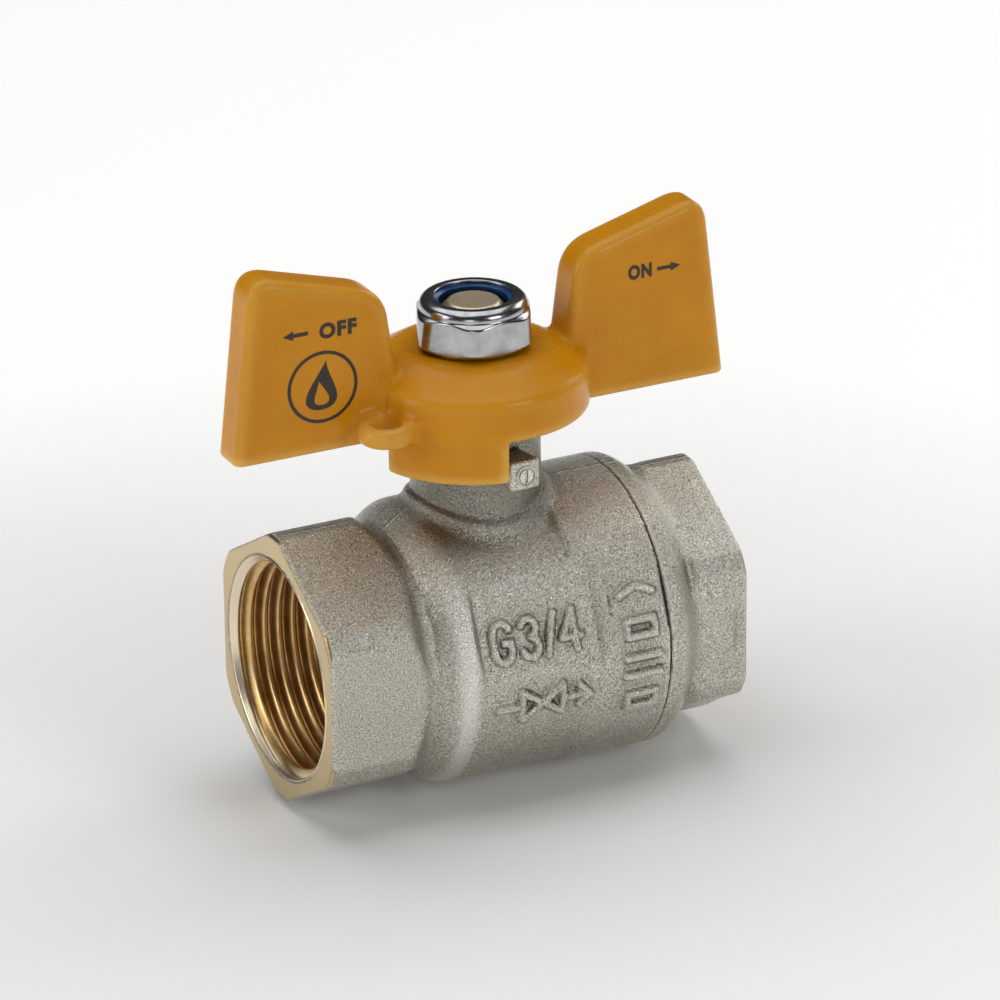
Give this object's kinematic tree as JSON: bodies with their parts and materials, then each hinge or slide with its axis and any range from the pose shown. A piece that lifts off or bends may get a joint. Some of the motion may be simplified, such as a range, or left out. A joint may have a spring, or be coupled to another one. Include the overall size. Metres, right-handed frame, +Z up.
{
  "type": "gas ball valve",
  "caption": "Nickel-plated brass ball valve with female pipe threads and a yellow butterfly handle that turns a quarter turn between stops.",
  "frame": {"origin": "where the flow axis and the stem axis cross, in the middle of the ball", "axes": "+Z up along the stem axis towards the handle, +X along the flow bore from the body's port to the end cap's port, +Y to the left of the flow"},
  "size_m": [0.0626, 0.0348, 0.0663],
  "materials": {
    "nickel_plated_brass": "sand-blasted forging, nickel plated, satin grey with a fine grain",
    "stem_brass": "turned, bare",
    "yellow_paint": "thick glossy yellow paint on a cast handle",
    "chromed_nut": "bright plated steel",
    "chromed_ball": "polished and chromed brass",
    "blue_nylon": "moulded nylon",
    "white_ptfe": "turned PTFE, waxy",
    "black_rubber": "moulded nitrile rubber"
  },
  "bodies": {
    "fixed_body": {"valve_body": "nickel_plated_brass", "end_cap": "nickel_plated_brass", "end_cap_seal": "black_rubber", "seat_inlet": "white_ptfe", "seat_outlet": "white_ptfe", "stem_thrust_washer": "white_ptfe"},
    "handle_assembly": {"handle": "yellow_paint", "handle_nut": "chromed_nut", "nut_insert": "blue_nylon", "stem": "stem_brass", "stem_ring_lower": "black_rubber", "stem_ring_upper": "black_rubber"},
    "ball": {"ball": "chromed_ball"}
  },
  "joints": [
    {"name": "handle_turn", "type": "hinge", "parent": "fixed_body", "child": "handle_assembly", "pos_m": [0, 0, 0], "axis": [0, 0, -1], "range_deg": [0, 90]},
    {"name": "ball_turn", "type": "hinge", "parent": "fixed_body", "child": "ball", "pos_m": [0, 0, 0], "axis": [0, 0, -1], "range_deg": [0, 90]}
  ],
  "couplings": [
    {"joint": "ball_turn", "follows": "handle_turn", "ratio": 1}
  ]
}
